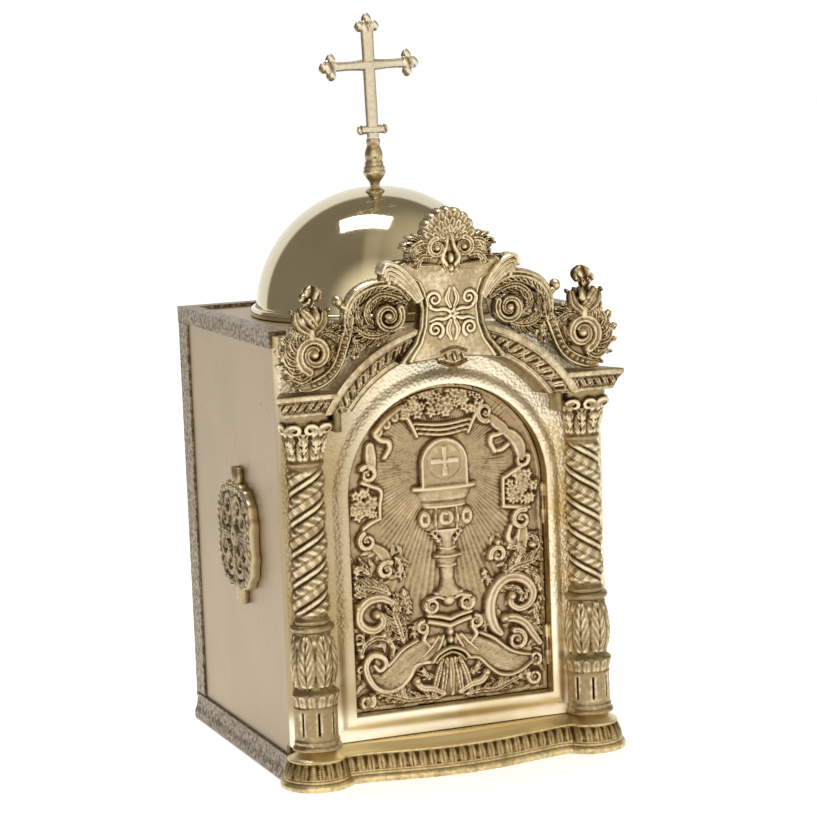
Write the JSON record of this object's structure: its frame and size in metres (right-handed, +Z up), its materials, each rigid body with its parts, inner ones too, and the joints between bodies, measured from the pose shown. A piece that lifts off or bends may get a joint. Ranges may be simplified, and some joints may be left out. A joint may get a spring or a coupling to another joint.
{
  "type": "tabernacle",
  "caption": "Domed brass altar tabernacle with twisted columns, scrolled crest, budded cross and a relief door that swings open on a side hinge.",
  "frame": {"origin": "middle of the underside", "axes": "+Z up, -Y towards the door side, +X to the right seen from the front"},
  "size_m": [0.3386, 0.3338, 0.6883],
  "materials": {
    "sheet_brass": "plain lacquered sheet, satin",
    "embossed_brass": "embossed strip, dull brown patina",
    "cast_brass": "cast, antiqued, brown patina in the hollows",
    "gilt_brass": "hammered pale gold",
    "polished_brass": "mirror polish"
  },
  "bodies": {
    "case": {"floor_panel": "sheet_brass", "left_wall": "sheet_brass", "right_wall": "sheet_brass", "back_wall": "sheet_brass", "roof_panel": "sheet_brass", "top_trim": "embossed_brass", "left_corner_strip": "embossed_brass", "right_corner_strip": "embossed_brass", "front_foot": "cast_brass", "skirting": "cast_brass", "front_plate": "gilt_brass", "left_column": "cast_brass", "right_column": "cast_brass", "right_scroll": "cast_brass", "left_scroll": "cast_brass", "arched_cornice": "cast_brass", "crest_shield": "gilt_brass", "lower_hinge_bracket": "cast_brass", "lower_hinge_pin": "cast_brass", "upper_hinge_bracket": "cast_brass", "upper_hinge_pin": "cast_brass", "dome": "polished_brass", "dome_ring": "polished_brass", "knop": "cast_brass", "cross": "polished_brass", "right_medallion": "cast_brass", "left_medallion": "cast_brass"},
    "door": {"door_leaf": "cast_brass"}
  },
  "joints": [
    {"name": "door_hinge", "type": "hinge", "parent": "case", "child": "door", "pos_m": [0.0942, -0.13285, 0.17], "axis": [0, 0, 1], "range_deg": [0, 100]}
  ]
}
